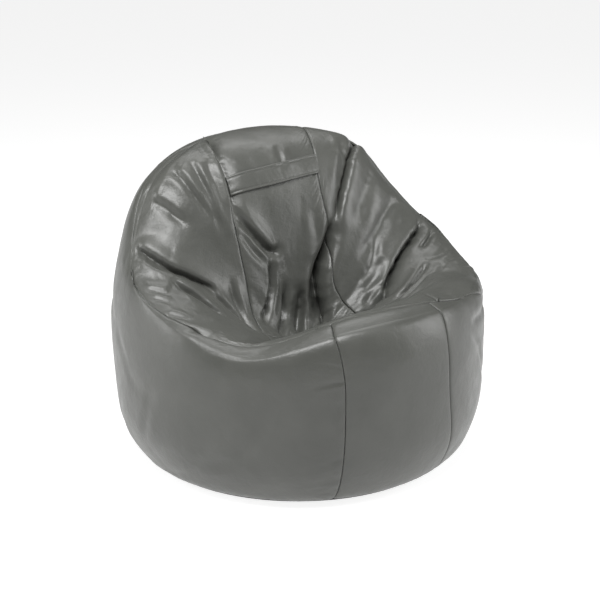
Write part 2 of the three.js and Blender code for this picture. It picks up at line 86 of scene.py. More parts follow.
# Rim seam: how far out it lies, by heading, where 1 is the rim and more than 1 is down the wall.
RIM_SEAM = [
    (-180, 1.0),
    (-160, 0.99),
    (-150, 1.0),
    (-140, 1.05),
    (-120, 1.08),
    (-100, 1.03),
    (-80, 0.94),
    (-60, 0.85),
    (-35, 0.78),
    (0, 0.78),
    (14, 0.86),
    (22, 0.9),
    (30, 0.96),
    (38, 1.05),
    (48, 1.18),
    (58, 1.17),
    (75, 1.08),
    (95, 1.0),
    (180, 1.0),
]

# Outer wall's seams: heading by climb.
FRONT_SEAM_LEFT = [(-90, 23), (-50, 22), (0, 18), (90, 18.5)]
FRONT_SEAM_RIGHT = [(-90, -20), (-50, -19), (0, -18.5), (90, -21)]
REAR_SEAM = 135
REAR_SEAM_LEFT = [(-90, REAR_SEAM), (90, REAR_SEAM)]
REAR_SEAM_RIGHT = [(-90, -REAR_SEAM), (90, -REAR_SEAM)]
REAR_SEAM_ROUND = [(-90, 360 - REAR_SEAM), (90, 360 - REAR_SEAM)]
ZIP_GAP_CLIMB = (-64.3, -56.8)

SKIN = 0.0014
SEAM_GAP = 0.0005

# Round grid
HEADINGS = 360
WALL_ROWS = 120
HOLLOW_ROWS = 120
LAST_ROW = WALL_ROWS + HOLLOW_ROWS


# == Curves and the smooth surface


def along_table(rows, x):
    """Values at x of the smooth curves through a table's rows, level at both ends."""
    rows = np.asarray(rows, float)
    xs, ys = rows[:, 0], rows[:, 1:]
    x = np.clip(np.asarray(x, float), xs[0], xs[-1])
    k = np.clip(np.searchsorted(xs, x, side="left"), 1, len(xs) - 1)
    slope = np.zeros_like(ys)
    slope[1:-1] = (ys[2:] - ys[:-2]) / (xs[2:] - xs[:-2])[:, None]
    span = (xs[k] - xs[k - 1])[..., None]
    s = (x - xs[k - 1])[..., None] / span
    return hermite(s, ys[k - 1], ys[k], span * slope[k - 1], span * slope[k])


def hermite(s, a, b, slope_a, slope_b):
    s2, s3 = s * s, s**3
    from_values = (2 * s3 - 3 * s2 + 1) * a + (3 * s2 - 2 * s3) * b
    return from_values + (s3 - 2 * s2 + s) * slope_a + (s3 - s2) * slope_b


def folded(heading):
    """Heading folded to 0..180, because both sides of the chair are alike."""
    return np.abs((np.asarray(heading) + 180) % 360 - 180)


def rim_seam(heading):
    """(radius, height) of the rim, with the front rim's slump towards the sitter's right."""
    rim = along_table(RIM, folded(heading))
    away = ((np.asarray(heading) + 180) % 360 - 180 - SLUMP_HEADING) / SLUMP_SPREAD
    return rim[..., 0], rim[..., 1] - SLUMP_DEPTH * bell(away)


def bell(q):
    return np.exp(-q * q / 2)


def polar(heading, radius, height):
    a = np.radians(heading)
    return np.stack([radius * np.sin(a), -radius * np.cos(a), height + 0 * a], -1)


def wall_point(heading, climb):
    """Outer wall: climb goes from -90 at the foot through 0 at the bulge to 90 at the rim."""
    rim_radius, rim_height = rim_seam(heading)
    low = climb < 0
    centre = np.where(low, FOOT_RADIUS, rim_radius)
    tall = np.where(low, BULGE_HEIGHT - FOOT_HEIGHT, rim_height - BULGE_HEIGHT)
    radius = centre + (BULGE_RADIUS - centre) * np.cos(np.radians(climb))
    return polar(heading, radius, BULGE_HEIGHT + tall * np.sin(np.radians(climb)))


def hollow_point(heading, out):
    """Hollow: out goes from 1 at the rim to 0 at the seat's lowest point."""
    profile = along_table(HOLLOW, folded(heading))
    last = profile.shape[-1] // 2 - 1
    t = (1 - out) * last
    k = np.clip(np.ceil(t).astype(int), 1, last)

    def value(stations):
        slope = np.zeros_like(stations)
        slope[..., 1:-1] = (stations[..., 2:] - stations[..., :-2]) / 2

        def pick(array, i):
            return np.take_along_axis(array, i[..., None], -1)[..., 0]

        ends = pick(stations, k - 1), pick(stations, k)
        return hermite(t - k + 1, *ends, pick(slope, k - 1), pick(slope, k))

    level, drop = value(profile[..., 0::2]), value(profile[..., 1::2])
    edge = polar(heading, *rim_seam(heading))
    share = np.stack([level, level, drop], -1)
    return edge + (np.asarray(SEAT_LOW) - edge) * share


def smooth_grid():
    """The smooth surface on the round grid: rows by headings by xyz."""
    heading = np.arange(HEADINGS) * 360 / HEADINGS
    climb = np.linspace(-90, 90, WALL_ROWS + 1)
    out = np.linspace(1, 0, HOLLOW_ROWS + 1)[1:]
    wall = wall_point(*np.broadcast_arrays(heading[None, :], climb[:, None]))
    hollow = hollow_point(*np.broadcast_arrays(heading[None, :], out[:, None]))
    return np.concatenate([wall, hollow])


def unit(v):
    return v / np.maximum(np.linalg.norm(v, axis=-1, keepdims=True), 1e-12)


def eased(values):
    """Softens steps between neighbouring grid points; the border stays."""
    for _ in range(2):
        values[1:-1] = (values[:-2] + 2 * values[1:-1] + values[2:]) / 4
        values[:, 1:-1] = (values[:, :-2] + 2 * values[:, 1:-1] + values[:, 2:]) / 4
    return values


def grid_facing(points):
    return unit(np.cross(np.gradient(points, axis=1), np.gradient(points, axis=0)))


def grid_normals(grid):
    across = np.roll(grid, -1, 1) - np.roll(grid, 1, 1)
    up = np.gradient(grid, axis=0)
    normal = unit(np.cross(across, up))
    normal[-1] = normal[-2].mean(0)
    return unit(normal)


def sample(grid, row, heading):
    """Smooth value of a round grid between its points."""
    row = np.clip(row, 0, LAST_ROW)
    column = np.asarray(heading) * HEADINGS / 360
    r0, c0 = np.floor(row).astype(int), np.floor(column).astype(int)
    fr, fc = (row - r0)[..., None], (column - c0)[..., None]

    def weights(f):
        return (
            ((2 - f) * f - 1) * f / 2,
            ((3 * f - 5) * f * f + 2) / 2,
            ((4 - 3 * f) * f + 1) * f / 2,
            (f - 1) * f * f / 2,
        )

    total = 0
    for i, wr in enumerate(weights(fr)):
        ri = np.clip(r0 + i - 1, 0, LAST_ROW)
        for j, wc in enumerate(weights(fc)):
            total = total + wr * wc * grid[ri, (c0 + j - 1) % HEADINGS]
    return total


def wall_row(climb):
    return (np.asarray(climb, float) + 90) / 180 * WALL_ROWS


def hollow_place(x, y):
    """(row, heading) of a place in the hollow, or down the wall where it is more than 1 from the middle."""
    return WALL_ROWS + (1 - np.hypot(x, y)) * HOLLOW_ROWS, np.degrees(np.arctan2(x, -np.asarray(y)))


def seam_out(heading):
    return along_table(RIM_SEAM, (np.asarray(heading) + 180) % 360 - 180)[..., 0]


# == Stage


FLOOR_REACH = 40.0
FLOOR_GLOW = 0.86
WORLD_STRENGTH = 0.06


def stage():
    """A wide pale floor, lit evenly by its own glow so that it stays pale from every side."""
    around = 96
    turns = [2 * math.pi * k / around for k in range(around)]
    vertices = [(0, 0, 0)] + [(FLOOR_REACH * math.cos(a), FLOOR_REACH * math.sin(a), 0) for a in turns]
    faces = [(0, k + 1, (k + 1) % around + 1) for k in range(around)]
    material = bpy.data.materials.new("pale_floor")
    material.use_nodes = True
    shader = material.node_tree.nodes["Principled BSDF"]
    shader.inputs["Base Color"].default_value = (0.4, 0.4, 0.4, 1)
    shader.inputs["Roughness"].default_value = 0.9
    shader.inputs["Specular IOR Level"].default_value = 0.1
    shader.inputs["Emission Color"].default_value = (1, 1, 1, 1)
    shader.inputs["Emission Strength"].default_value = FLOOR_GLOW
    add_mesh("floor", vertices, faces, material)


def area_light(name, place, aim, size, power):
    data = bpy.data.lights.new(name, "AREA")
    data.shape = "RECTANGLE"
    data.size, data.size_y = size
    data.energy = power
    obj = bpy.data.objects.new(name, data)
    obj.location = place
    obj.rotation_euler = (Vector(aim) - Vector(place)).to_track_quat("-Z", "Y").to_euler()
    bpy.context.collection.objects.link(obj)


CAMERA = {"azimuth": -32.0, "elevation": 18.5, "distance": 3.8, "aim": (0.004, -0.003, 0.362), "lens": 94.0}


def on_camera_axes(right, up, toward):
    """A place given from the chair's middle along the camera's own axes, so the lights sit round the view."""
    a = math.radians(CAMERA["azimuth"])
    ahead = Vector((math.sin(a), -math.cos(a), 0))
    side = Vector((math.cos(a), math.sin(a), 0))
    return Vector(CAMERA["aim"]) + side * right + Vector((0, 0, up)) + ahead * toward


# Softboxes: name, (right, up, toward the camera) from the chair's middle, width and height, watts
SOFTBOXES = [
    ("key_left", (-2.7, 0.9, 0.5), (1.2, 1.9), 42),
    ("key_right", (2.7, 1.0, 0.1), (1.2, 1.9), 38),
    ("front_top", (-0.2, 2.7, 1.2), (1.9, 1.3), 104),
    ("rear_top", (0.1, 2.7, -1.5), (1.8, 1.2), 24),
]


def lights():
    for name, place, size, power in SOFTBOXES:
        area_light(name, on_camera_axes(*place), CAMERA["aim"], size, power)
    world = bpy.data.worlds.new("studio")
    world.use_nodes = True
    sky = world.node_tree.nodes["Background"]
    sky.inputs["Color"].default_value = (1, 1, 1, 1)
    sky.inputs["Strength"].default_value = WORLD_STRENGTH
    bpy.context.scene.world = world
    bpy.context.scene.view_settings.view_transform = "Standard"


def camera():
    data = bpy.data.cameras.new("camera")
    data.lens = CAMERA["lens"]
    data.sensor_width = 36
    obj = bpy.data.objects.new("camera", data)
    a, e = math.radians(CAMERA["azimuth"]), math.radians(CAMERA["elevation"])
    back = Vector((math.sin(a) * math.cos(e), -math.cos(a) * math.cos(e), math.sin(e)))
    obj.location = Vector(CAMERA["aim"]) + back * CAMERA["distance"]
    obj.rotation_euler = (-back).to_track_quat("-Z", "Y").to_euler()
    bpy.context.collection.objects.link(obj)
    bpy.context.scene.camera = obj


# == Materials


class Nodes:
    """A material's node tree with short calls for what the materials here need."""

    def __init__(self, name):
        self.material = bpy.data.materials.new(name)
        self.material.use_nodes = True
        self.tree = self.material.node_tree
        self.shader = self.tree.nodes["Principled BSDF"]
        coordinates = self.tree.nodes.new("ShaderNodeTexCoord")
        self.place = coordinates.outputs["Object"]

    def link(self, source, target):
        self.tree.links.new(source, target)

    def node(self, kind, **settings):
        """A node with its settings: attributes by their own names, inputs by theirs, with _ for a space."""
        node = self.tree.nodes.new(kind)
        for key, value in settings.items():
            if hasattr(node, key):
                setattr(node, key, value)
            else:
                node.inputs[key.replace("_", " ")].default_value = value
        return node

    def noise(self, scale, detail=2.0, roughness=0.5, distortion=0.0):
        sizes = {"Scale": scale, "Detail": detail, "Roughness": roughness, "Distortion": distortion}
        node = self.node("ShaderNodeTexNoise", **sizes)
        self.link(self.place, node.inputs["Vector"])
        return node.outputs["Fac"]

    def cells(self, scale):
        node = self.node("ShaderNodeTexVoronoi", Scale=scale)
        self.link(self.place, node.inputs["Vector"])
        return node.outputs["Distance"]

    def ranged(self, value, low, high, to_low, to_high):
        node = self.node("ShaderNodeMapRange", From_Min=low, From_Max=high, To_Min=to_low, To_Max=to_high)
        self.link(value, node.inputs["Value"])
        return node.outputs["Result"]

    def math(self, operation, a, b):
        node = self.node("ShaderNodeMath", operation=operation)
        for socket, value in zip(node.inputs, (a, b)):
            if isinstance(value, (int, float)):
                socket.default_value = value
            else:
                self.link(value, socket)
        return node.outputs["Value"]

    def colour_mix(self, factor, dark, light):
        node = self.node("ShaderNodeMix", data_type="RGBA")
        self.link(factor, node.inputs[0])
        node.inputs[6].default_value = (*dark, 1)
        node.inputs[7].default_value = (*light, 1)
        return node.outputs[2]

    def finish(self, colour, roughness, normal):
        """Joins the look to the shader; roughness is a number or a node's output."""
        self.link(colour, self.shader.inputs["Base Color"])
        if isinstance(roughness, float):
            self.shader.inputs["Roughness"].default_value = roughness
        else:
            self.link(roughness, self.shader.inputs["Roughness"])
        self.link(normal, self.shader.inputs["Normal"])
        return self.material

    def bump(self, height, strength, distance, under=None):
        node = self.node("ShaderNodeBump", Strength=strength, Distance=distance)
        self.link(height, node.inputs["Height"])
        if under is not None:
            self.link(under, node.inputs["Normal"])
        return node.outputs["Normal"]


def leather():
    """Semi-gloss leather-look cover: fine pebbled grain, soft creases, and slightly uneven gloss."""
    n = Nodes("leather_look")
    mottle = n.ranged(n.noise(9, 3), 0.3, 0.7, 0, 1)
    colour = n.colour_mix(mottle, (0.070, 0.072, 0.065), (0.084, 0.086, 0.078))
    gloss = n.ranged(n.noise(22, 3), 0.3, 0.7, 0.31, 0.41)
    creased = n.bump(n.noise(38, 2, 0.5, 0.4), 0.25, 0.004)
    soft = n.bump(n.noise(150, 2), 0.18, 0.0012, creased)
    return n.finish(colour, gloss, n.bump(n.cells(620), 0.22, 0.0006, soft))


def woven(name, dark, light, pitch, strength=0.5, roughness=0.85):
    """Plain weave, by two crossed waves."""
    n = Nodes(name)
    waves = []
    for axis in ("X", "Z"):
        wave = n.node("ShaderNodeTexWave", bands_direction=axis, Scale=1 / pitch / 2)
        n.link(n.place, wave.inputs["Vector"])
        waves.append(wave.outputs["Fac"])
    weave = n.math("MULTIPLY", *waves)
    shade = n.math("ADD", n.math("MULTIPLY", weave, 0.7), n.math("MULTIPLY", n.noise(40, 3), 0.3))
    return n.finish(n.colour_mix(shade, dark, light), roughness, n.bump(weave, strength, pitch * 0.4))


# == Mesh pieces


def add_mesh(name, vertices, faces, material):
    mesh = bpy.data.meshes.new(name)
    mesh.from_pydata([tuple(v) for v in vertices], [], [tuple(f) for f in faces])
    mesh.update()
    mesh.polygons.foreach_set("use_smooth", [True] * len(mesh.polygons))
    obj = bpy.data.objects.new(name, mesh)
    bpy.context.collection.objects.link(obj)
    mesh.materials.append(material)
    return obj


def graded(length, cell, edges=(0.001, 0.0022, 0.004, 0.0065)):
    """Fractions from 0 to 1 along a length, close together at both ends."""
    count = max(2, round((length - 2 * edges[-1]) / cell))
    inner = np.linspace(edges[-1], length - edges[-1], count + 1)
    marks = np.concatenate([[0], edges[:-1], inner, length - np.array(edges[:-1])[::-1], [length]])
    return marks / length


def grid_quads(rows, columns):
    index = np.arange(rows * columns).reshape(rows, columns)
    return np.stack([index[:-1, :-1], index[:-1, 1:], index[1:, 1:], index[1:, :-1]], -1).reshape(-1, 4)


def ring_quads(rings, around, first=0):
    """Faces between rings of vertices, each ring closed on itself."""
    faces = []
    for ring in range(rings - 1):
        for k in range(around):
            a, b = first + ring * around + k, first + ring * around + (k + 1) % around
            faces.append((a, b, b + around, a + around))
    return faces


def run(points, axis):
    """Distance covered along an axis of a grid of points."""
    steps = np.linalg.norm(np.diff(points, axis=axis), axis=-1)
    start = np.zeros_like(np.take(steps, [0], axis))
    return np.concatenate([start, np.cumsum(steps, axis)], axis)


def ripples(s, wavelength, seed):
    """Irregular smooth waves along a length, about -1 to 1."""
    rng = np.random.default_rng(seed)
    total = 0
    for share in (1.0, 0.63, 0.41, 1.7):
        wave = np.sin(2 * np.pi * s / (wavelength * share) + rng.uniform(0, 6.28))
        total = total + wave * rng.uniform(0.5, 1)
    return total / 2.4


GROOVE_DEPTH = 0.0026
GROOVE_WIDTH = 0.0032
PUCKER_FADE_IN = 0.006


class Panel:
    """A cover panel: a grid of places (row, heading) on the round grid, dressed with its seams."""

    def __init__(self, name, width, length, place, cell=0.0048):
        self.name = name
        self.u = graded(width, cell)
        self.v = graded(length, cell)
        v, u = np.meshgrid(self.v, self.u, indexing="ij")
        self.row, self.heading = place(v, u)
        self.smooth = sample(SMOOTH, self.row, self.heading)
        outward = unit(sample(SMOOTH_NORMALS, self.row, self.heading))
        folded_by = eased(softened(self.smooth, outward))
        self.points = self.smooth + folded_by + sample(SETTLED, self.row, self.heading)
        self.normal = grid_facing(self.points)
        self.along_u, self.along_v = run(self.points, 1), run(self.points, 0)
        self.edge = {
            "left": self.along_u,
            "right": self.along_u[:, -1:] - self.along_u,
            "low": self.along_v,
            "high": self.along_v[-1:] - self.along_v,
        }
        self.height = np.zeros(self.row.shape)

    def groove(self, *sides):
        """The panel turns in along its sewn edges."""
        for side in sides:
            self.height -= GROOVE_DEPTH * np.exp(-self.edge[side] / GROOVE_WIDTH)

    def pucker(self, side, amount, reach, wavelength, seed, start=0.0, end=9.0):
        """Small gathers square to a sewn edge, where the stitching takes the material up."""
        d = self.edge[side]
        s = self.along_v if side in ("left", "right") else self.along_u
        fade = (1 - np.exp(-d / PUCKER_FADE_IN)) * np.exp(-((d / reach) ** 1.3))
        span = 1 / (1 + np.exp(-(s - start) / 0.02)) / (1 + np.exp((s - end) / 0.02))
        drift = s + 0.25 * d * np.sin(37 * s + seed)
        self.height += amount * fade * span * ripples(drift, wavelength, seed)

    def flat_area(self):
        a = self.smooth
        d1, d2 = a[1:, 1:] - a[:-1, :-1], a[1:, :-1] - a[:-1, 1:]
        return float(np.linalg.norm(np.cross(d1, d2), axis=-1).sum() / 2)

    def build(self, material):
        points = self.points + self.normal * self.height[..., None]
        obj = add_mesh(self.name, points.reshape(-1, 3), grid_quads(*self.row.shape), material)
        merge = obj.modifiers.new("merge", "WELD")
        merge.merge_threshold = 0.0001
        shell = obj.modifiers.new("skin", "SOLIDIFY")
        shell.thickness = SKIN
        shell.offset = -1
        return obj


def flat_size(panel):
    """Width, length and area of the panel's own smooth surface."""
    width = float(run(panel.smooth, 1)[:, -1].max())
    length = float(run(panel.smooth, 0)[-1].max())
    return width, length, panel.flat_area()


def on_chair(obj, node=None):
    """A new piece rides on the chair body, and replaces its CAD node where it has one."""
    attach(obj, "chair")
    if node:
        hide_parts(node)


def sewn(panel, obj, node):
    width, length, area = flat_size(panel)
    flat = (round(width, 3), round(length, 3))
    area = min(round(area, 4), flat[0] * flat[1])
    on_chair(obj, node)


# == Seam places


def mix(a, b, t):
    return a + (b - a) * t


def strip_half(side, y):
    return along_table(STRIP_LEFT if side > 0 else STRIP_RIGHT, y)[..., 0]


def strip_edge(side, t):
    """(x, y) on the strip's edge; t goes from -1 at the front rim seam to 1 at the back one."""
    y = np.array(t, float)
    for _ in range(40):
        x = side * strip_half(side, y)
        reach = seam_out(np.degrees(np.arctan2(x, -np.sign(t) * np.abs(y))))
        y = t * np.sqrt(np.maximum(0, reach**2 - x * x))
    return side * strip_half(side, y), y


def rim_y(x, way):
    """y of the rim seam at x, at the front (-1) or the back (1)."""
    y = way * np.ones_like(x)
    for _ in range(20):
        y = way * np.sqrt(np.maximum(0, seam_out(np.degrees(np.arctan2(x, -y))) ** 2 - x * x))
    return y


def wall_panel(name, left, right, cell=0.0055, lowest=-90.0, highest=None):
    """left and right are tables of heading by climb; without a highest climb it goes up to the rim seam."""
    gap = np.degrees(SEAM_GAP / 2 / FOOT_RADIUS)

    def place(v, u):
        row = mix(wall_row(lowest), WALL_ROWS, v)
        for _ in range(8):
            climb = np.minimum(row / WALL_ROWS * 180 - 90, 90)
            a, b = along_table(left, climb)[..., 0], along_table(right, climb)[..., 0]
            heading = mix(a + gap, b - gap, u)
            rim = WALL_ROWS + (1 - seam_out(heading) - SEAM_INSET) * HOLLOW_ROWS
            top = wall_row(highest) if highest else rim
            row = mix(wall_row(lowest), top, v)
        return row, heading

    width = math.radians(right[0][1] - left[0][1]) * BULGE_RADIUS
    return Panel(name, width, 0.52, place, cell)


def strip_panel(name, width, length, low, high, cell=0.0026):
    """Part of the centre strip, from y = low(x) to y = high(x)."""

    def place(v, u):
        x, y = np.zeros_like(u), np.zeros_like(u)
        for _ in range(12):
            left, right = -strip_half(-1, y) + SEAM_INSET, strip_half(1, y) - SEAM_INSET
            x = mix(left, right, u)
            y = mix(low(x), high(x), v)
        return hollow_place(x, y)

    return Panel(name, width, length, place, cell)


SEAM_INSET = 0.0008


def strip_end(side, t):
    """Heading at which the strip's edge meets the rim seam, at the front (t = -1) or the back (1)."""
    x, y = strip_edge(side, np.array(t))
    return np.degrees(np.arctan2(x, -y))


def wing_panel(name, side, cell=0.0024):
    """Inside of an arm and of the head: u goes from centre strip to rim seam, v from front to back."""

    def place(v, u):
        x, y = strip_edge(side, mix(-0.999, 0.999, v))
        ends = strip_end(side, -1.0), strip_end(side, 1.0)
        heading = mix(*ends, v)
        reach = seam_out(heading) - SEAM_INSET
        out_x, out_y = reach * np.sin(np.radians(heading)), -reach * np.cos(np.radians(heading))
        found = hollow_place(mix(x + side * SEAM_INSET, out_x, u), mix(y, out_y, u))
        return found if side > 0 else [value[:, ::-1] for value in found]

    return Panel(name, 0.34, 0.80, place, cell)


# == Folds
#
# A fold follows a path of places in the hollow, in rim units: x is across, y is from the front (-1) to the
# back (1). Its left side is the side on the left hand of someone who walks the path on the cover's outside.
# Depths, widths and heights are in millimetres: (path, depth, width, left ridge, right ridge, overhang).
# The overhang pushes the higher ridge over the valley, as a loose cover does when it rolls over itself.

FOLDS = [
    # between the head and the left arm, then down into the corner of the seat
    ([(0.87, 0.53), (0.67, 0.375), (0.52, 0.285), (0.35, 0.22)], 40, 8, 8, -4, 21),
    ([(0.42, 0.25), (0.3, 0.225), (0.2, 0.22), (0.135, 0.14), (0.13, 0.0)], 62, 13, 5, 11, 13),
    ([(0.66, 0.48), (0.55, 0.36), (0.45, 0.29)], 6, 9, 2, 4, 0),
    # left arm
    ([(0.92, 0.1), (0.72, 0.045), (0.56, 0.01), (0.44, -0.045), (0.39, -0.13)], 32, 8, -4, 9, 17),
    ([(0.93, 0.03), (0.79, -0.025), (0.66, -0.055)], 15, 6, 2, 5, 7),
    ([(0.66, -0.15), (0.53, -0.19), (0.4, -0.2)], 13, 6, 3, 6, 6),
    ([(0.62, -0.2), (0.5, -0.25), (0.4, -0.26)], 8, 6, 3, 3, 0),
    ([(0.44, -0.09), (0.35, -0.07), (0.26, -0.1)], 22, 9, 5, 2, 3),
    ([(0.8, 0.21), (0.66, 0.16), (0.5, 0.12), (0.4, 0.11)], 9, 13, 5, 3, 0),
    ([(0.74, 0.32), (0.6, 0.25), (0.46, 0.19)], 7, 13, 4, 2, 0),
    ([(0.56, 0.12), (0.47, 0.075), (0.38, 0.05)], 7, 6, 4, 3, 0),
    ([(0.52, 0.07), (0.44, 0.03), (0.35, 0.01)], 8, 6, 4, 3, 0),
    ([(0.45, 0.0), (0.38, -0.02), (0.31, -0.03)], 8, 6, 4, 3, 0),
    ([(0.9, -0.12), (0.78, -0.16), (0.68, -0.16)], 4, 7, 2, 2, 0),
    ([(0.93, -0.2), (0.84, -0.23), (0.74, -0.24)], 4, 6, 2, 2, 0),
    ([(0.93, -0.3), (0.86, -0.33), (0.78, -0.33)], 4, 6, 2, 2, 0),
    # right arm
    ([(-0.97, 0.25), (-0.8, 0.15), (-0.68, 0.1), (-0.57, 0.08), (-0.45, 0.06)], 24, 7, 9, -2, 14),
    ([(-0.95, 0.2), (-0.8, 0.12), (-0.69, 0.065)], 7, 5, 4, 2, 2),
    ([(-0.72, 0.035), (-0.61, -0.02), (-0.5, -0.12)], 14, 7, 7, 0, 7),
    ([(-0.54, 0.07), (-0.45, 0.01), (-0.37, -0.05)], 9, 7, 5, 3, 3),
    ([(-0.43, 0.13), (-0.37, 0.04), (-0.34, -0.1)], 12, 7, 5, 2, 4),
    ([(-0.84, 0.375), (-0.73, 0.3), (-0.6, 0.22)], 9, 8, 7, 0, 5),
    ([(-0.72, 0.46), (-0.61, 0.33), (-0.5, 0.24)], 8, 8, 5, 2, 3),
    ([(-0.62, 0.5), (-0.545, 0.35), (-0.45, 0.2)], 7, 8, 5, 2, 3),
    ([(-0.54, 0.5), (-0.5, 0.38), (-0.43, 0.24)], 5, 7, 3, 2, 0),
    ([(-0.92, 0.0), (-0.82, -0.04), (-0.74, -0.05)], 5, 6, 3, 2, 0),
    ([(-0.91, -0.07), (-0.85, -0.1), (-0.78, -0.12)], 4, 6, 2, 2, 0),
    ([(-0.9, -0.2), (-0.83, -0.23), (-0.75, -0.26)], 4, 7, 3, 2, 0),
    ([(-0.87, -0.33), (-0.8, -0.36), (-0.72, -0.42)], 5, 7, 4, 2, 0),
    # along the right seam of the backrest, where the wing rolls over it
    ([(-0.37, 0.82), (-0.44, 0.6), (-0.435, 0.42), (-0.395, 0.22)], 13, 7, -2, 5, 7),
    # backrest
    ([(-0.44, 0.33), (-0.33, 0.29), (-0.21, 0.3), (-0.08, 0.36)], 17, 9, 9, 6, 6),
    ([(-0.4, 0.26), (-0.31, 0.235), (-0.23, 0.25)], 9, 7, 4, 4, 0),
    ([(-0.2, 0.3), (-0.2, 0.19), (-0.25, 0.02)], 20, 7, 6, 6, 3),
    ([(-0.07, 0.28), (-0.09, 0.17), (-0.17, 0.0)], 20, 7, 7, 5, 3),
    ([(0.06, 0.28), (0.02, 0.17), (-0.07, 0.0)], 18, 7, 8, 5, 3),
    ([(0.16, 0.3), (0.11, 0.18), (0.03, 0.02)], 14, 7, 6, 4, 0),
    ([(0.3, 0.36), (0.25, 0.3), (0.16, 0.27)], 5, 9, 3, 3, 0),
    ([(0.12, 0.68), (0.09, 0.6), (0.07, 0.54)], 4, 7, 3, 3, 0),
]

# Soft swellings and hollows of the filling: (place, height in mm, radius in mm)
LUMPS = [
    ((0.82, 0.62), 8, 45),
    ((0.9, 0.3), -4, 80),
    ((0.93, 0.05), 7, 50),
    ((0.84, 0.14), -4, 30),
    ((0.8, -0.69), 9, 34),
    ((0.95, -0.78), -5, 26),
    ((-0.93, 0.3), -9, 110),
    ((-0.7, 0.7), -6, 90),
    ((0.0, 0.28), 10, 70),
]


def smoothstep(x):
    x = np.clip(x, 0, 1)
    return x * x * (3 - 2 * x)


def curve_through(path, count):
    path = np.asarray(path, float)
    length = np.concatenate([[0], np.cumsum(np.linalg.norm(np.diff(path, axis=0), axis=1))])
    return catmull(path, length, np.linspace(0, length[-1], count))


def catmull(path, knots, at):
    slope = np.gradient(path, knots, axis=0)
    k = np.clip(np.searchsorted(knots, at, side="left"), 1, len(knots) - 1)
    span = (knots[k] - knots[k - 1])[:, None]
    s = (at - knots[k - 1])[:, None] / span
    return hermite(s, path[k - 1], path[k], span * slope[k - 1], span * slope[k])


def beside(points, line):
    """For each point, the nearest place on a line: distance, fraction along, tangent, and offset from it."""
    best = np.full(len(points), 1e9)
    along = np.zeros(len(points))
    tangent = np.zeros_like(points)
    offset = np.zeros_like(points)
    for i in range(len(line) - 1):
        a, ab = line[i], line[i + 1] - line[i]
        t = np.clip(((points - a) @ ab) / (ab @ ab), 0, 1)
        away = points - (a + t[:, None] * ab)
        d = np.linalg.norm(away, axis=1)
        nearer = d < best
        best[nearer] = d[nearer]
        along[nearer] = (i + t[nearer]) / (len(line) - 1)
        tangent[nearer] = ab / np.linalg.norm(ab)
        offset[nearer] = away[nearer]
    return best, along, tangent, offset


def blunt(q):
    """A crease's section: sharp at the bottom, with wide sides."""
    return np.exp(1 - np.sqrt(1 + q * q))


FOLD_REACH = 0.075


def lay_fold(base, normals, moved, fold, seed):
    path, depth, width, left_ridge, right_ridge, overhang = fold
    depth, width, overhang = depth / 1000, width / 1000, overhang / 1000
    line = sample(SMOOTH, *hollow_place(*curve_through(path, 32).T))
    low, high = line.min(0) - FOLD_REACH, line.max(0) + FOLD_REACH
    near = ((base > low) & (base < high)).all(-1)
    points, normal = base[near], normals[near]
    distance, along, tangent, offset = beside(points, line)
    left = unit(np.cross(normal, tangent))
    side = np.sign((offset * left).sum(1))
    d = distance * side
    length = np.linalg.norm(np.diff(line, axis=0), axis=1).sum()
    ends = smoothstep(along / 0.28) * smoothstep((1 - along) / 0.28)
    uneven = 1 + 0.16 * ripples(along * length, 0.06, seed)
    strength = ends * uneven
    height = -depth * blunt(d / width)
    slide = 0
    for sign, ridge in ((1, left_ridge / 1000), (-1, right_ridge / 1000)):
        crest = bell((d * sign - 2.1 * width) / (1.15 * width))
        height = height + ridge * crest
        if abs(ridge) == max(abs(left_ridge), abs(right_ridge)) / 1000:
            slide = slide - sign * overhang * crest
    moved[near] += normal * (height * strength)[:, None] + left * (slide * strength)[:, None]


def lay_lump(base, normals, moved, lump):
    (x, y), height, radius = lump
    centre = sample(SMOOTH, *hollow_place(np.array([x]), np.array([y])))[0]
    d = np.linalg.norm(base - centre, axis=-1)
    moved += normals * (height / 1000 * bell(d / (radius / 1000)))[..., None]


BELLY_HEIGHT, BELLY_SPREAD, BELLY_DEPTH = 0.125, 0.065, 0.010


def belly(base, normals):
    """The filling settles, so the wall is fuller low down than the CAD's plain curve."""
    on_wall = np.hypot(base[..., 0], base[..., 1]) > 0.3
    low = bell((base[..., 2] - BELLY_HEIGHT) / BELLY_SPREAD) * on_wall
    low = low * smoothstep((0.22 - base[..., 1]) / 0.15)
    return normals * (BELLY_DEPTH * low)[..., None]


WALL_LUMPS, WALL_FOLDS = 60, 34


def wall_lumps():
    """Shallow swellings and dents where the beads settle unevenly behind the outer wall."""
    rng = np.random.default_rng(21)
    lumps = []
    for _ in range(WALL_LUMPS):
        a, out = rng.uniform(-math.pi, math.pi), rng.uniform(1.12, 1.9)
        height = rng.choice([-1, 1]) * rng.uniform(1.2, 3.0)
        lumps.append(((out * math.sin(a), -out * math.cos(a)), height, rng.uniform(28, 60)))
    return lumps


def wall_folds():
    """Slack creases on the sides and the rear, running level or drooping; the front is drawn tight."""
    rng = np.random.default_rng(8)
    folds = []
    for _ in range(WALL_FOLDS):
        middle = math.radians(rng.uniform(40, 320))
        out, reach = rng.uniform(1.15, 1.85), rng.uniform(0.12, 0.3)
        droop = rng.uniform(-0.16, 0.16)
        path = []
        for t in (-1, 0, 1):
            far, a = out + droop * t + 0.05 * (1 - t * t), middle + reach * t
            path.append((far * math.sin(a), -far * math.cos(a)))
        depth, width = rng.uniform(2.0, 4.5), rng.uniform(7, 12)
        folds.append((path, depth, width, rng.uniform(0.8, 2.0), rng.uniform(0.8, 2.0), 0))
    return folds


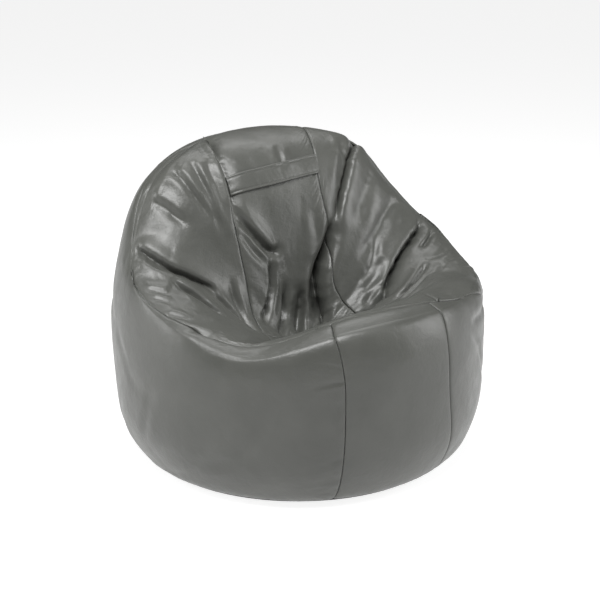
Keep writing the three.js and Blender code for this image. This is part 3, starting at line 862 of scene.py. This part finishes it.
def softened(base, normals):
    """How far the filling's lumps and the cover's folds move each point of the smooth surface."""
    moved = belly(base, normals)
    for lump in LUMPS + wall_lumps():
        lay_lump(base, normals, moved, lump)
    for seed, fold in enumerate(FOLDS + wall_folds()):
        lay_fold(base, normals, moved, fold, seed)
    return moved


def grown_in(values, reach):
    """Each grid value replaced by the lowest near it, then softened: what lies under the cover's folds."""
    for _ in range(reach):
        sides = [np.roll(values, 1, 1), np.roll(values, -1, 1)]
        sides += [np.concatenate([values[:1], values[:-1]]), np.concatenate([values[1:], values[-1:]])]
        values = np.minimum.reduce([values, *sides])
    for _ in range(2 * reach):
        values = (values + np.roll(values, 1, 1) + np.roll(values, -1, 1)) / 3
        values[1:-1] = (values[1:-1] + values[:-2] + values[2:]) / 3
    return values


def under_cover(depth, rows=90, columns=150):
    """A grid below the cover, following its folds: rows by columns by xyz."""
    normals = grid_normals(SMOOTH)
    moved = ((COVER - SMOOTH) * normals).sum(-1)
    inner = SMOOTH + normals * (grown_in(moved, 4) - depth)[..., None]
    inner[..., 2] = np.maximum(inner[..., 2], FOOT_HEIGHT + 0.002)
    row = np.linspace(0, LAST_ROW - 1.5, rows)
    heading = np.arange(columns) * 360 / columns
    return sample(inner, *np.meshgrid(row, heading, indexing="ij"))


def closed_grid(points):
    """Vertices and faces of rings joined round, with a vertex at the middle of each end."""
    rows, columns = points.shape[:2]
    vertices = np.concatenate([points.reshape(-1, 3), [points[0].mean(0)], [points[-1].mean(0)]])
    faces = ring_quads(rows, columns)
    for c in range(columns):
        d = (c + 1) % columns
        faces.append((rows * columns, d, c))
        faces.append((rows * columns + 1, (rows - 1) * columns + c, (rows - 1) * columns + d))
    return vertices, faces


FILL_DEPTH = 0.022
LINER_DEPTH = 0.016
LINER_THICKNESS = 0.0008


def build_fill():
    """The beads' mass: a lumpy closed body just under the liner."""
    obj = add_mesh("bead_filling", *closed_grid(under_cover(FILL_DEPTH)), beads())
    on_chair(obj, "bead_fill")


def build_liner():
    cloth = woven("liner_cloth", (0.55, 0.55, 0.53), (0.8, 0.8, 0.78), 0.0008)
    obj = add_mesh("inner_bag", *closed_grid(under_cover(LINER_DEPTH)), cloth)
    shell = obj.modifiers.new("cloth", "SOLIDIFY")
    shell.thickness = LINER_THICKNESS
    shell.offset = -1
    on_chair(obj, "inner_liner")


def beads():
    n = Nodes("polystyrene_beads")
    grains = n.cells(260)
    colour = n.colour_mix(grains, (0.85, 0.85, 0.84), (0.6, 0.6, 0.59))
    return n.finish(colour, 0.7, n.bump(grains, 0.8, 0.002))


# == Cloth simulation
#
# The folded cover is settled as cloth, without gravity or collision: pressure from inside swells it, and
# the cover of the hollow is a little larger than its place. The foot is held, and the rim seam and the seat's
# lowest point are held in part. The movement is limited to SETTLE_CAP and added to the authored folds.

SETTLE_FRAMES = 22
SETTLE_CAP = 0.016
LOOSENESS = -0.06


def settle(start):
    """How far the cloth moves each point of the round grid."""
    coarse = start[::2, ::2]
    rings, columns = coarse.shape[0] - 1, coarse.shape[1]
    vertices = np.concatenate([coarse[:-1].reshape(-1, 3), coarse[-1:, 0]])
    faces = ring_quads(rings, columns)
    for c in range(columns):
        faces.append(((rings - 1) * columns + c, (rings - 1) * columns + (c + 1) % columns, rings * columns))
    cloth = add_mesh("cover_cloth", vertices, faces, bpy.data.materials.new("cloth_form"))
    hold, loose = cloth.vertex_groups.new(name="hold"), cloth.vertex_groups.new(name="loose")
    row = np.minimum(np.arange(len(vertices)) // columns, rings) * 2
    heading = (np.arange(len(vertices)) % columns) * 360 / columns
    held, growth = hold_weights(row, heading), smoothstep((row - WALL_ROWS) / 12 + 0.2)
    for i in range(len(vertices)):
        hold.add([i], float(held[i]), "REPLACE")
        loose.add([i], float(growth[i]), "REPLACE")
    modifier = cloth.modifiers.new("settle", "CLOTH")
    settings = modifier.settings
    settings.quality = 6
    settings.mass = 0.4
    settings.air_damping = 3
    settings.tension_stiffness = settings.compression_stiffness = 25
    settings.shear_stiffness = 8
    settings.bending_stiffness = 0.3
    settings.use_pressure = True
    settings.uniform_pressure_force = 1.2
    settings.vertex_group_mass = "hold"
    settings.pin_stiffness = 0.8
    settings.vertex_group_shrink = "loose"
    settings.shrink_min, settings.shrink_max = 0.0, LOOSENESS
    settings.effector_weights.gravity = 0
    modifier.collision_settings.use_collision = False
    modifier.point_cache.frame_start, modifier.point_cache.frame_end = 1, SETTLE_FRAMES
    scene = bpy.context.scene
    for number in range(1, SETTLE_FRAMES + 1):
        scene.frame_set(number)
    settled = cloth.evaluated_get(bpy.context.evaluated_depsgraph_get())
    ends = np.zeros(len(vertices) * 3)
    settled.data.vertices.foreach_get("co", ends)
    moved = ends.reshape(-1, 3) - vertices
    scene.frame_set(1)
    bpy.data.objects.remove(cloth)
    far = np.linalg.norm(moved, axis=1, keepdims=True)
    moved *= SETTLE_CAP * np.tanh(far / SETTLE_CAP) / np.maximum(far, 1e-9)
    grid = np.concatenate([moved[:-1].reshape(rings, columns, 3), np.repeat(moved[None, -1:], columns, 1)])
    return twice_as_fine(grid)


def hold_weights(row, heading):
    """1 is fixed: the foot. The rim seam and the seat's lowest point are held in part, the rest hardly."""
    held = np.where(row < 6, 1.0, 0.04)
    held = np.maximum(held, 0.5 * bell((row - WALL_ROWS - (1 - seam_out(heading)) * HOLLOW_ROWS) / 2.5))
    return np.maximum(held, 0.6 * (row > LAST_ROW - 6))


def twice_as_fine(grid):
    across = np.empty((grid.shape[0], grid.shape[1] * 2, 3))
    across[:, ::2] = grid
    across[:, 1::2] = (9 * (grid + np.roll(grid, -1, 1)) - np.roll(grid, 1, 1) - np.roll(grid, -2, 1)) / 16
    fine = np.empty((grid.shape[0] * 2 - 1, across.shape[1], 3))
    fine[::2] = across
    fine[1::2] = (across[:-1] + across[1:]) / 2
    return fine


# == Handle, base, zip and label


def cover_frame(row, heading):
    """Place and outward normal on the finished cover."""
    return sample(COVER, row, heading), unit(sample(COVER_NORMALS, row, heading))


def strip_solid(name, points, normals, lift, thickness, material):
    """A closed band over a grid of places: lift and thickness follow the grid, with closed edges."""
    top, under = points + normals * (lift + thickness)[..., None], points + normals * lift[..., None]
    rows, columns = lift.shape
    faces = [tuple(f) for f in grid_quads(rows, columns)]
    count = rows * columns
    faces += [tuple(count + i for i in reversed(f)) for f in grid_quads(rows, columns)]
    index = np.arange(count).reshape(rows, columns)
    border = [*index[0], *index[1:, -1], *index[-1, -2::-1], *index[-2:0:-1, 0]]
    for a, b in zip(border, border[1:] + border[:1]):
        faces.append((b, a, a + count, b + count))
    return add_mesh(name, np.concatenate([top.reshape(-1, 3), under.reshape(-1, 3)]), faces, material)


def capsules(name, starts, ends, outward, radius, material, sides=6):
    """Short threads from starts to ends, with rounded ends, joined in one mesh."""
    along = unit(ends - starts)
    across = unit(np.cross(along, outward))
    up = np.cross(across, along)
    stations = [(0.0, 0.25), (0.1, 0.8), (0.35, 1.0), (0.65, 1.0), (0.9, 0.8), (1.0, 0.25)]
    vertices, faces = [], []
    for i in range(len(starts)):
        base = len(vertices)
        for t, girth in stations:
            middle = mix(starts[i], ends[i], t)
            for k in range(sides):
                a = 2 * math.pi * k / sides
                vertices.append(middle + radius * girth * (math.cos(a) * across[i] + math.sin(a) * up[i]))
        for j in range(len(stations) - 1):
            for k in range(sides):
                a, b = base + j * sides + k, base + j * sides + (k + 1) % sides
                faces.append((a, b, b + sides, a + sides))
        last = base + (len(stations) - 1) * sides
        faces.append(tuple(range(base + sides - 1, base - 1, -1)))
        faces.append(tuple(range(last, last + sides)))
    return add_mesh(name, vertices, faces, material)


STRAP_WIDTH = 0.045
STRAP_THICKNESS = 0.0024
STRAP_STITCH_INSET = 0.006
# Height of the handle's middle line at the sitter's right end and left end
STRAP_HEIGHTS = (0.636, 0.654)


def strap_grid(across, along):
    """Places on the backrest: along from seam to seam, and across in metres up from the middle line."""
    x = np.zeros_like(along)
    for _ in range(6):
        low, high = np.full_like(x, 0.1), np.full_like(x, 0.8)
        for _ in range(24):
            y = (low + high) / 2
            under = sample(SMOOTH, *hollow_place(x, y))[..., 2] < mix(*STRAP_HEIGHTS, along) + 0.93 * across
            low, high = np.where(under, y, low), np.where(under, high, y)
        x = mix(-strip_half(-1, y), strip_half(1, y), along)
    return hollow_place(x, y)


def build_handle():
    v, u = np.linspace(-0.5, 0.5, 29), np.linspace(0.0, 1.0, 131)
    across, along = np.meshgrid(v * STRAP_WIDTH, u, indexing="ij")
    points, normals = cover_frame(*strap_grid(across, along))
    points = eased_line(points)
    normals = unit(eased_line(normals))
    arch = 0.003 * np.sin(np.pi * along) ** 0.7 + 0.0012
    inset = STRAP_WIDTH / 2 - np.abs(across)
    seam = 0.0011 * bell((inset - STRAP_STITCH_INSET) / 0.0011)
    roll = 0.0009 * np.clip(1 - inset / 0.0016, 0, 1) ** 2
    ripple = 0.0003 * ripples(along * 0.25 + 0.3 * across, 0.035, 5)
    lift = arch + ripple
    thickness = STRAP_THICKNESS - seam - roll
    obj = strip_solid("carry_handle_strap", points, normals, lift, thickness, skin)
    on_chair(obj, "carry_handle")
    starts, ends, ups = [], [], []
    for side in (-1, 1):
        reach = side * (STRAP_WIDTH / 2 - STRAP_STITCH_INSET)
        row = int(round((reach / STRAP_WIDTH + 0.5) * 28))
        line = (points + normals * (lift + thickness)[..., None])[row]
        far = run(line[None], 1)[0]
        marks = np.arange(0.003, far[-1] - 0.003, STITCH_PITCH)
        for start in marks:
            starts.append([np.interp(start, far, line[:, k]) for k in range(3)])
            ends.append([np.interp(start + STITCH_LENGTH, far, line[:, k]) for k in range(3)])
            ups.append([np.interp(start, far, normals[row][:, k]) for k in range(3)])
    starts, ends, ups = (np.array(values) for values in (starts, ends, ups))
    stitching = capsules("carry_handle_stitching", starts, ends, ups, 0.00045, thread_material)
    on_chair(stitching)
    length = float(run(points, 1)[:, -1].max())


STITCH_PITCH = 0.0042
STITCH_LENGTH = 0.0031


def eased_line(values):
    """Softens a band's places along its length: a taut band bridges the cover's small folds."""
    for _ in range(30):
        values = values.copy()
        values[:, 1:-1] = (values[:, :-2] + 2 * values[:, 1:-1] + values[:, 2:]) / 4
    return values


WELT_RING_RADIUS = 0.3690
WELT_HEIGHT = 0.0068
WELT_RADIUS = 0.0044


def build_welt():
    """Piping round the foot: a cord in a sleeve, whose gathers show as small ripples."""
    around, section = 720, 14
    a = np.linspace(0, 360, around, endpoint=False)
    phi = np.linspace(0, 2 * np.pi, section, endpoint=False)
    heading, turn = np.meshgrid(a, phi, indexing="ij")
    radius = WELT_RADIUS * (1 + 0.03 * ripples(np.radians(heading) * WELT_RING_RADIUS, 0.012, 3))
    points = polar(heading, WELT_RING_RADIUS + radius * np.cos(turn), WELT_HEIGHT + radius * np.sin(turn))
    faces = []
    for i in range(around):
        j = (i + 1) % around
        for k in range(section):
            m = (k + 1) % section
            faces.append((i * section + k, j * section + k, j * section + m, i * section + m))
    # The piping's near-black colour is partly its own dark fabric and partly painted shade for the contact
    # shadow at the foot.
    obj = add_mesh("base_piping", points.reshape(-1, 3), faces, base_cloth_and_painted_foot_shade)
    on_chair(obj, "base_welt")


BASE_RADIUS = 0.3655
BASE_THICKNESS = 0.005
BASE_DOT_PITCH = 0.0085


def build_base():
    """The non-slip underside: a disc with small raised grip dots and a turned edge."""
    rings, around = 40, 180
    r = np.linspace(0, 1, rings) ** 0.9 * BASE_RADIUS
    vertices = [(0, 0, 0.0009)]
    for radius in r[1:]:
        for a in np.arange(around) * 2 * np.pi / around:
            vertices.append((radius * math.sin(a), -radius * math.cos(a), 0.0009))
    turned_edge = [(0.0008, 0.0022), (0.0006, 0.004), (-0.001, BASE_THICKNESS)]
    rim_drop = [(BASE_RADIUS + out, z) for out, z in turned_edge]
    for radius, z in rim_drop:
        for a in np.arange(around) * 2 * np.pi / around:
            vertices.append((radius * math.sin(a), -radius * math.cos(a), z))
    vertices.append((0, 0, BASE_THICKNESS))
    faces = [(0, 1 + (k + 1) % around, 1 + k) for k in range(around)]
    faces += ring_quads(rings - 1 + len(rim_drop), around, 1)
    last = 1 + (rings - 2 + len(rim_drop)) * around
    faces += [(last + k, last + (k + 1) % around, len(vertices) - 1) for k in range(around)]
    obj = add_mesh("base_underside", vertices, faces, base_cloth_and_painted_foot_shade)
    on_chair(obj, "base_panel")
    dots = []
    steps = int(BASE_RADIUS / BASE_DOT_PITCH) - 1
    for i in range(-steps, steps + 1):
        for j in range(-steps, steps + 1):
            x, y = (i + 0.5 * (j % 2)) * BASE_DOT_PITCH, j * BASE_DOT_PITCH * 0.87
            if math.hypot(x, y) < BASE_RADIUS - 0.012:
                dots.append((x, y))
    vertices, faces = [], []
    for x, y in dots:
        base = len(vertices)
        for radius, z in ((0.0019, 0.001), (0.0014, 0.0001)):
            for k in range(8):
                a = k * math.pi / 4
                vertices.append((x + radius * math.cos(a), y + radius * math.sin(a), z))
        for k in range(8):
            faces.append((base + (k + 1) % 8, base + k, base + 8 + k, base + 8 + (k + 1) % 8))
        faces.append(tuple(base + 15 - k for k in range(8)))
        faces.append(tuple(base + k for k in range(8)))
    grip = add_mesh("base_grip_dots", vertices, faces, rubber)
    on_chair(grip)


def rubber_material():
    n = Nodes("grip_rubber")
    colour = n.colour_mix(n.noise(60, 2), (0.012, 0.012, 0.012), (0.03, 0.03, 0.03))
    return n.finish(colour, 0.7, n.bump(n.noise(900, 2), 0.2, 0.0003))


def metal_material(name, dark, light, roughness):
    """Plated zip metal with fine brushed scratches."""
    n = Nodes(name)
    brushed = n.noise(400, 3, 0.6, 1.5)
    n.shader.inputs["Metallic"].default_value = 1.0
    gloss = n.ranged(brushed, 0.3, 0.7, roughness - 0.06, roughness + 0.08)
    return n.finish(n.colour_mix(brushed, dark, light), gloss, n.bump(brushed, 0.15, 0.0002))


def thread():
    """Twisted sewing thread, a shade darker than the cover."""
    n = Nodes("sewing_thread")
    twist = n.node("ShaderNodeTexWave", bands_direction="DIAGONAL", Scale=700)
    n.link(n.place, twist.inputs["Vector"])
    strands = twist.outputs["Fac"]
    colour = n.colour_mix(strands, (0.055, 0.056, 0.05), (0.1, 0.102, 0.095))
    return n.finish(colour, 0.55, n.bump(strands, 0.4, 0.0002))


ZIP_HEIGHT = 0.048
ZIP_ARC = (136.5, 223.5)
COIL_INNER, COIL_OUTER = 0.0001, 0.0033
COIL_PITCH = 0.0021
COIL_WIRE = 0.0006
ZIP_SINK = 0.0004


def climb_at(height):
    return -np.degrees(np.arcsin((BULGE_HEIGHT - height) / (BULGE_HEIGHT - FOOT_HEIGHT)))


def wall_frame(heading, height):
    """Place, outward direction and upward direction on the outer wall."""
    climb = np.full_like(heading, climb_at(height))
    point = wall_point(heading, climb)
    up = unit(wall_point(heading, climb + 0.2) - wall_point(heading, climb - 0.2))
    across = unit(wall_point(heading + 0.2, climb) - wall_point(heading - 0.2, climb))
    return point, unit(np.cross(across, up)), up


def build_coil(name, side):
    """One row of a coil zip: for each tooth two legs of wire and a head, reaching just past the middle."""
    pitch = np.degrees(COIL_PITCH / 0.406)
    heading = np.arange(ZIP_ARC[0] + (0.5 * pitch if side > 0 else 0), ZIP_ARC[1], pitch)
    point, out, up = wall_frame(heading, ZIP_HEIGHT)
    starts, ends, ups = [], [], []
    for lift in (0.0, 0.00115):
        sunk = point + out * (lift - ZIP_SINK - 0.0006)
        starts.append(sunk + up * (side * COIL_OUTER))
        ends.append(sunk + up * (side * (COIL_INNER - 0.0004)))
        ups.append(out)
    head = point + out * (0.00055 - ZIP_SINK - 0.0006) + up * (side * (COIL_INNER - 0.0003))
    starts.append(head - out * 0.0005)
    ends.append(head + out * 0.0005)
    ups.append(up)
    starts, ends, ups = (np.concatenate(values) for values in (starts, ends, ups))
    obj = capsules(name, starts, ends, ups, COIL_WIRE, nylon, sides=5)
    on_chair(obj, "zip_coil_upper" if side > 0 else "zip_coil_lower")


LABEL_HEADINGS = (126.3, 129.7)
LABEL_HEIGHTS = (0.014, 0.062)


def build_label():
    """A blank woven label standing up from the base seam, with a dent where its edge would be stitched."""
    v, u = np.meshgrid(np.linspace(0, 1, 33), np.linspace(0, 1, 21), indexing="ij")
    heading = mix(*LABEL_HEADINGS, u)
    points, normals = cover_frame(wall_row(climb_at(mix(*LABEL_HEIGHTS, v))), heading)
    lift = 0.0012 + 0.004 * v**3 * (1 + 0.5 * np.sin(5 * u)) + 0.0003 * np.sin(9 * v + 4 * u)
    edge = np.minimum(np.minimum(u, 1 - u) * 0.026, (1 - v) * 0.048)
    thickness = 0.0006 - 0.0002 * bell((edge - 0.002) / 0.0006)
    obj = strip_solid("blank_label", points, normals, lift, thickness, label_cloth)
    on_chair(obj, "care_label")


def nylon_material():
    n = Nodes("zip_nylon")
    colour = n.colour_mix(n.noise(300, 2), (0.045, 0.046, 0.043), (0.075, 0.077, 0.072))
    return n.finish(colour, 0.38, n.bump(n.noise(1500, 2), 0.15, 0.0002))


def dress_cad_parts():
    tape = woven("zip_tape_weave", (0.05, 0.051, 0.048), (0.09, 0.092, 0.086), 0.0006)
    nickel = metal_material("nickel_plate", (0.45, 0.45, 0.44), (0.62, 0.62, 0.6), 0.3)
    liner_tape = woven("liner_tape_weave", (0.4, 0.4, 0.38), (0.6, 0.6, 0.57), 0.0006)
    for node in ("zip_tape_upper", "zip_tape_lower"):
        dress(node, tape)
    for node in ("zip_slider", "zip_pull", "zip_top_stop", "zip_bottom_stop", "liner_zip_slider"):
        dress(node, nickel)
    for node in ("liner_zip_upper", "liner_zip_lower"):
        dress(node, liner_tape)


def dress(node, material):
    """A CAD node that keeps its shape gets its material."""
    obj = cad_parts[node]
    obj.data.materials.clear()
    obj.data.materials.append(material)


# == Making

camera()
lights()
stage()

SMOOTH = smooth_grid()
SMOOTH_NORMALS = grid_normals(SMOOTH)
FOLDED = SMOOTH + softened(SMOOTH, SMOOTH_NORMALS)
SETTLED = settle(FOLDED)
COVER = FOLDED + SETTLED
COVER_NORMALS = grid_normals(COVER)

skin = leather()
thread_material = thread()
# Near-black cloth for the base disc and the piping round the foot: partly the base's own dark fabric, partly
# painted shade in place of the contact shadow at the foot.
base_cloth_and_painted_foot_shade = woven("base_cloth_and_painted_foot_shade", (0.010, 0.010, 0.010), (0.028, 0.028, 0.028), 0.0009)
rubber = rubber_material()
nylon = nylon_material()
label_cloth = woven("label_weave", (0.5, 0.5, 0.47), (0.75, 0.75, 0.71), 0.0005, 0.3)


# Gathers along the seams: (side, height, reach and wavelength in mm, start and end along the side in metres)
PUCKERS = {
    "front_panel": [
        ("left", 0.5, 14, 17), ("right", 0.5, 16, 19), ("low", 0.7, 22, 26), ("high", 0.5, 20, 30)
    ],
    "side_panel_right": [("right", 4.5, 42, 27, 0.06, 0.36), ("low", 0.8, 26, 24), ("high", 0.9, 22, 26)],
    "side_panel_left": [("left", 0.7, 18, 21), ("low", 0.8, 26, 24), ("high", 0.9, 20, 24)],
    "rear_panel": [
        ("left", 0.7, 20, 21), ("right", 0.7, 20, 23), ("low", 0.5, 14, 17), ("high", 0.7, 20, 25)
    ],
    "zip_facing": [("high", 0.3, 8, 13), ("low", 0.4, 10, 17)],
    "wing_panel_left": [("left", 0.8, 20, 21), ("right", 1.1, 26, 27)],
    "wing_panel_right": [("right", 0.5, 18, 23), ("left", 0.4, 20, 25)],
    "backrest_panel": [("left", 0.7, 18, 22), ("right", 1.2, 22, 19), ("low", 1.2, 20, 16)],
    "seat_panel": [("left", 0.7, 16, 19), ("right", 0.7, 16, 17), ("high", 1.0, 18, 15)],
}


def build_cover():
    crease_low, crease_high = lambda x: CREASE_Y - SEAM_INSET + 0 * x, lambda x: CREASE_Y + SEAM_INSET + 0 * x
    front, back = lambda x: rim_y(x, -1) + SEAM_INSET, lambda x: rim_y(x, 1) - SEAM_INSET
    panels = {
        "front_panel": wall_panel("front_panel_skin", FRONT_SEAM_RIGHT, FRONT_SEAM_LEFT, 0.005),
        "side_panel_left": wall_panel("side_panel_left_skin", FRONT_SEAM_LEFT, REAR_SEAM_LEFT),
        "side_panel_right": wall_panel("side_panel_right_skin", REAR_SEAM_RIGHT, FRONT_SEAM_RIGHT),
        "rear_panel": wall_panel("rear_panel_skin", REAR_SEAM_LEFT, REAR_SEAM_ROUND, lowest=ZIP_GAP_CLIMB[1]),
        "zip_facing": wall_panel(
            "zip_facing_skin", REAR_SEAM_LEFT, REAR_SEAM_ROUND, highest=ZIP_GAP_CLIMB[0]
        ),
        "wing_panel_left": wing_panel("wing_panel_left_skin", 1),
        "wing_panel_right": wing_panel("wing_panel_right_skin", -1),
        "backrest_panel": strip_panel("backrest_panel_skin", 0.3, 0.64, crease_high, back),
        "seat_panel": strip_panel("seat_panel_skin", 0.26, 0.33, front, crease_low),
    }
    for node, panel in panels.items():
        panel.groove("left", "right", "low", "high")
        for seed, (side, amount, reach, wavelength, *span) in enumerate(PUCKERS.get(node, ())):
            panel.pucker(side, amount / 1000, reach / 1000, wavelength / 1000, 11 * seed + 3, *span)
        sewn(panel, panel.build(skin), node)


build_cover()
build_fill()
build_liner()
build_handle()
build_base()
build_welt()
build_coil("zip_coil_row_upper", 1)
build_coil("zip_coil_row_lower", -1)
build_label()
dress_cad_parts()
